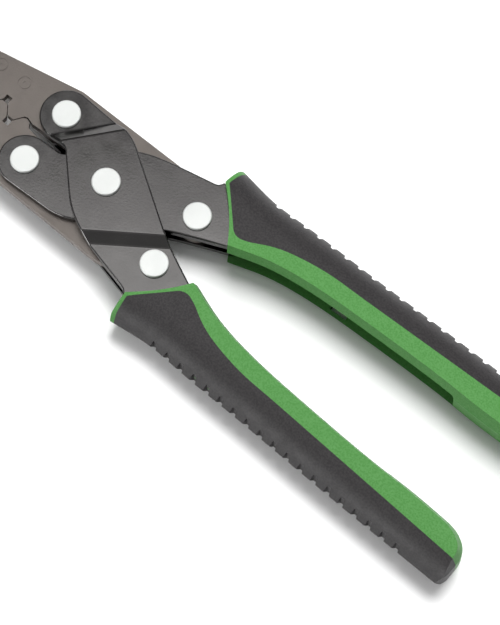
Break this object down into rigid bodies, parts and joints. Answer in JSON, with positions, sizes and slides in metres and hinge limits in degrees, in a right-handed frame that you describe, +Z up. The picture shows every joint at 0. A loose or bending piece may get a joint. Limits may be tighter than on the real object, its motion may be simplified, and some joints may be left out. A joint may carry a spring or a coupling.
{
  "type": "parallel-jaw crimping pliers",
  "caption": "Hand crimping pliers with two long notched jaws kept parallel between paired lever plates, riveted joints and two-colour moulded grips.",
  "frame": {"origin": "on the axis of the centre pivot rivet, on the plane the tool lies on (underside of that rivet's lower head)", "axes": "+X from the jaws' nose towards the grips, +Z up through the thickness, lever A's grip at -Y and lever B's at +Y; drawn closed"},
  "size_m": [0.2247, 0.0622, 0.015],
  "materials": {
    "jaw_steel": "fine blasted grey steel, low gloss",
    "lever_steel": "dark blued steel, satin",
    "rivet_steel": "turned steel, satin",
    "grip_green": "moulded nylon, satin",
    "grip_black": "soft moulded rubber, matte",
    "spring_steel": "drawn spring wire"
  },
  "bodies": {
    "lever_a": {"lever_a_front_plate": "lever_steel", "lever_a_back_plate": "lever_steel", "lever_a_grip_core": "grip_green", "lever_a_grip_cover": "grip_black", "lever_a_tang_spacer": "lever_steel", "lever_a_tang_rivets": "rivet_steel", "lever_a_jaw_rivet": "rivet_steel", "lever_a_guide_rivet": "rivet_steel", "lever_a_guide_bush": "rivet_steel", "pivot_rivet": "rivet_steel", "pivot_bush": "rivet_steel"},
    "lever_b": {"lever_b_front_plate": "lever_steel", "lever_b_back_plate": "lever_steel", "lever_b_grip_core": "grip_green", "lever_b_grip_cover": "grip_black", "lever_b_tang_spacer": "lever_steel", "lever_b_tang_rivets": "rivet_steel", "lever_b_jaw_rivet": "rivet_steel", "lever_b_guide_rivet": "rivet_steel", "lever_b_guide_bush": "rivet_steel"},
    "upper_jaw": {"upper_jaw": "jaw_steel", "upper_jaw_bush": "rivet_steel"},
    "lower_jaw": {"lower_jaw": "jaw_steel", "lower_jaw_bush": "rivet_steel"},
    "spring_lower": {"return_spring_lower_half": "spring_steel"},
    "spring_upper": {"return_spring_upper_half": "spring_steel"}
  },
  "joints": [
    {"name": "lever_b_pivot", "type": "hinge", "parent": "lever_a", "child": "lever_b", "pos_m": [0, 0, 0.0075], "axis": [0, 0, 1], "range_deg": [0, 20]},
    {"name": "upper_jaw_hinge", "type": "hinge", "parent": "lever_a", "child": "upper_jaw", "pos_m": [-0.0242, 0.00955, 0.0075], "axis": [0, 0, 1], "range_deg": [0, 10]},
    {"name": "lower_jaw_hinge", "type": "hinge", "parent": "lever_b", "child": "lower_jaw", "pos_m": [-0.0242, -0.00955, 0.0075], "axis": [0, 0, 1], "range_deg": [-10, 0]},
    {"name": "spring_lower_turn", "type": "hinge", "parent": "lever_a", "child": "spring_lower", "pos_m": [0, 0, 0.0075], "axis": [0, 0, 1], "range_deg": [-1.5, 0]},
    {"name": "spring_upper_turn", "type": "hinge", "parent": "spring_lower", "child": "spring_upper", "pos_m": [0, 0, 0.0075], "axis": [0, 0, 1], "range_deg": [0, 23]}
  ],
  "couplings": [
    {"joint": "upper_jaw_hinge", "follows": "lever_b_pivot", "ratio": 0.5},
    {"joint": "lower_jaw_hinge", "follows": "lever_b_pivot", "ratio": -0.5},
    {"joint": "spring_lower_turn", "follows": "lever_b_pivot", "ratio": -0.075},
    {"joint": "spring_upper_turn", "follows": "lever_b_pivot", "ratio": 1.15}
  ]
}
